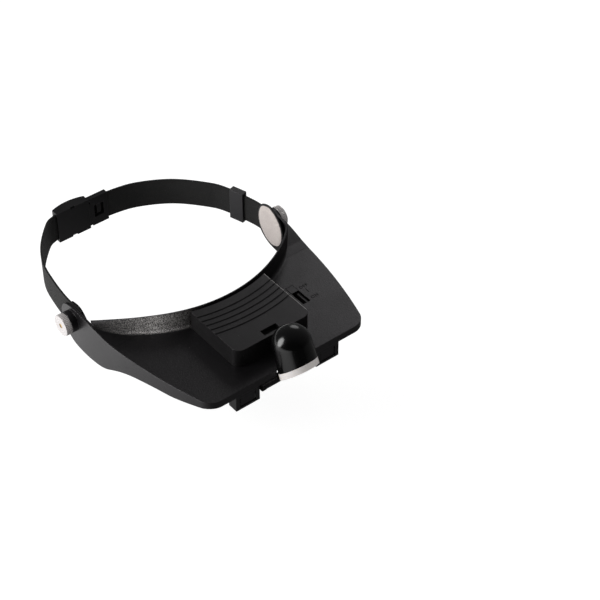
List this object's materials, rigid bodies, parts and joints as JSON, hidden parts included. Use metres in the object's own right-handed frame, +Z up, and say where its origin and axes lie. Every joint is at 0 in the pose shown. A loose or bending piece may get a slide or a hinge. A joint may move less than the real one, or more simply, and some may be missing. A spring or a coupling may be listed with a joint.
{
  "type": "headband magnifier",
  "caption": "Lighted magnifier visor on an adjustable webbing headband, with a battery box, a tilting lamp and clips for a lens plate",
  "frame": {"origin": "midway between the two temple pivots, on their common axis", "axes": "+Y towards the back of the head (the brim points along -Y), +Z up, +X towards the wearer's left"},
  "size_m": [0.2112, 0.2754, 0.0691],
  "materials": {
    "webbing": "coarse woven webbing, charcoal",
    "shell_plastic": "fine-grained, satin",
    "cover_plastic": "fine-grained, satin",
    "band_plastic": "moulded, semi-gloss",
    "clip_plastic": "satin",
    "knob_plastic": "satin",
    "lamp_black": "polished",
    "lamp_white": "milky, translucent",
    "clear_lens": "clear moulded",
    "led_body": "clear resin",
    "circuit_board": "printed board",
    "pad_foam": "soft knitted skin over foam",
    "plate_plastic": "semi-gloss",
    "bright_metal": "bright plated, knurled edge",
    "screw_brass": "turned",
    "cell_metal": "bare can",
    "contact_metal": "nickel plated spring strip",
    "wire_skin": "insulated leads"
  },
  "bodies": {
    "headband": {"strap_left": "webbing", "strap_rear": "webbing", "strap_right": "webbing", "strap_slider": "band_plastic", "buckle_housing": "band_plastic", "buckle_insert": "band_plastic", "temple_plate_left": "plate_plastic", "temple_plate_right": "plate_plastic", "temple_pad_left": "pad_foam", "temple_pad_right": "pad_foam", "clamp_screw_left": "screw_brass", "clamp_screw_right": "screw_brass"},
    "buckle_finger": {"buckle_latch": "band_plastic"},
    "nut_left": {"thumb_nut_left": "bright_metal"},
    "nut_right": {"thumb_nut_right": "bright_metal"},
    "visor": {"visor_shell": "shell_plastic", "lens_clip_left": "clip_plastic", "lens_clip_right": "clip_plastic", "battery_tray": "clip_plastic", "battery_cells": "cell_metal", "battery_contacts": "contact_metal", "switch_body": "clip_plastic", "lamp_wires": "wire_skin"},
    "tongue_left": {"clip_tongue_left": "clip_plastic"},
    "tongue_right": {"clip_tongue_right": "clip_plastic"},
    "cover": {"battery_cover": "cover_plastic"},
    "knob": {"switch_knob": "knob_plastic"},
    "lamp": {"lamp_bracket": "clip_plastic", "lamp_housing": "lamp_black", "lamp_ring": "lamp_white", "lamp_lens": "clear_lens", "lamp_board": "circuit_board", "lamp_leds": "led_body"}
  },
  "joints": [
    {"name": "visor_tilt", "type": "hinge", "parent": "headband", "child": "visor", "pos_m": [0, 0, 0], "axis": [-1, 0, 0], "range_deg": [-20, 75]},
    {"name": "nut_turn_left", "type": "hinge", "parent": "headband", "child": "nut_left", "pos_m": [0.103, 0, 0], "axis": [1, 0, 0], "continuous": true},
    {"name": "nut_turn_right", "type": "hinge", "parent": "headband", "child": "nut_right", "pos_m": [-0.103, 0, 0], "axis": [-1, 0, 0], "continuous": true},
    {"name": "buckle_press", "type": "hinge", "parent": "headband", "child": "buckle_finger", "pos_m": [-0.0055, 0.1003, 0.0057], "axis": [-1, 0, 0], "range_deg": [0, 6], "stiffness_Nm_per_rad": 0.1},
    {"name": "lamp_tilt", "type": "hinge", "parent": "visor", "child": "lamp", "pos_m": [0, -0.142, -0.004], "axis": [1, 0, 0], "range_deg": [-5, 40]},
    {"name": "switch_slide", "type": "slide", "parent": "visor", "child": "knob", "axis": [0, -1, 0], "range_m": [0, 0.0142]},
    {"name": "cover_lift", "type": "slide", "parent": "visor", "child": "cover", "axis": [0, 0, 1], "range_m": [0, 0.03]},
    {"name": "tongue_left_press", "type": "hinge", "parent": "visor", "child": "tongue_left", "pos_m": [0.0372, -0.1412, -0.0044], "axis": [-1, 0, 0], "range_deg": [0, 8], "stiffness_Nm_per_rad": 0.1},
    {"name": "tongue_right_press", "type": "hinge", "parent": "visor", "child": "tongue_right", "pos_m": [-0.0372, -0.1412, -0.0044], "axis": [-1, 0, 0], "range_deg": [0, 8], "stiffness_Nm_per_rad": 0.1}
  ]
}
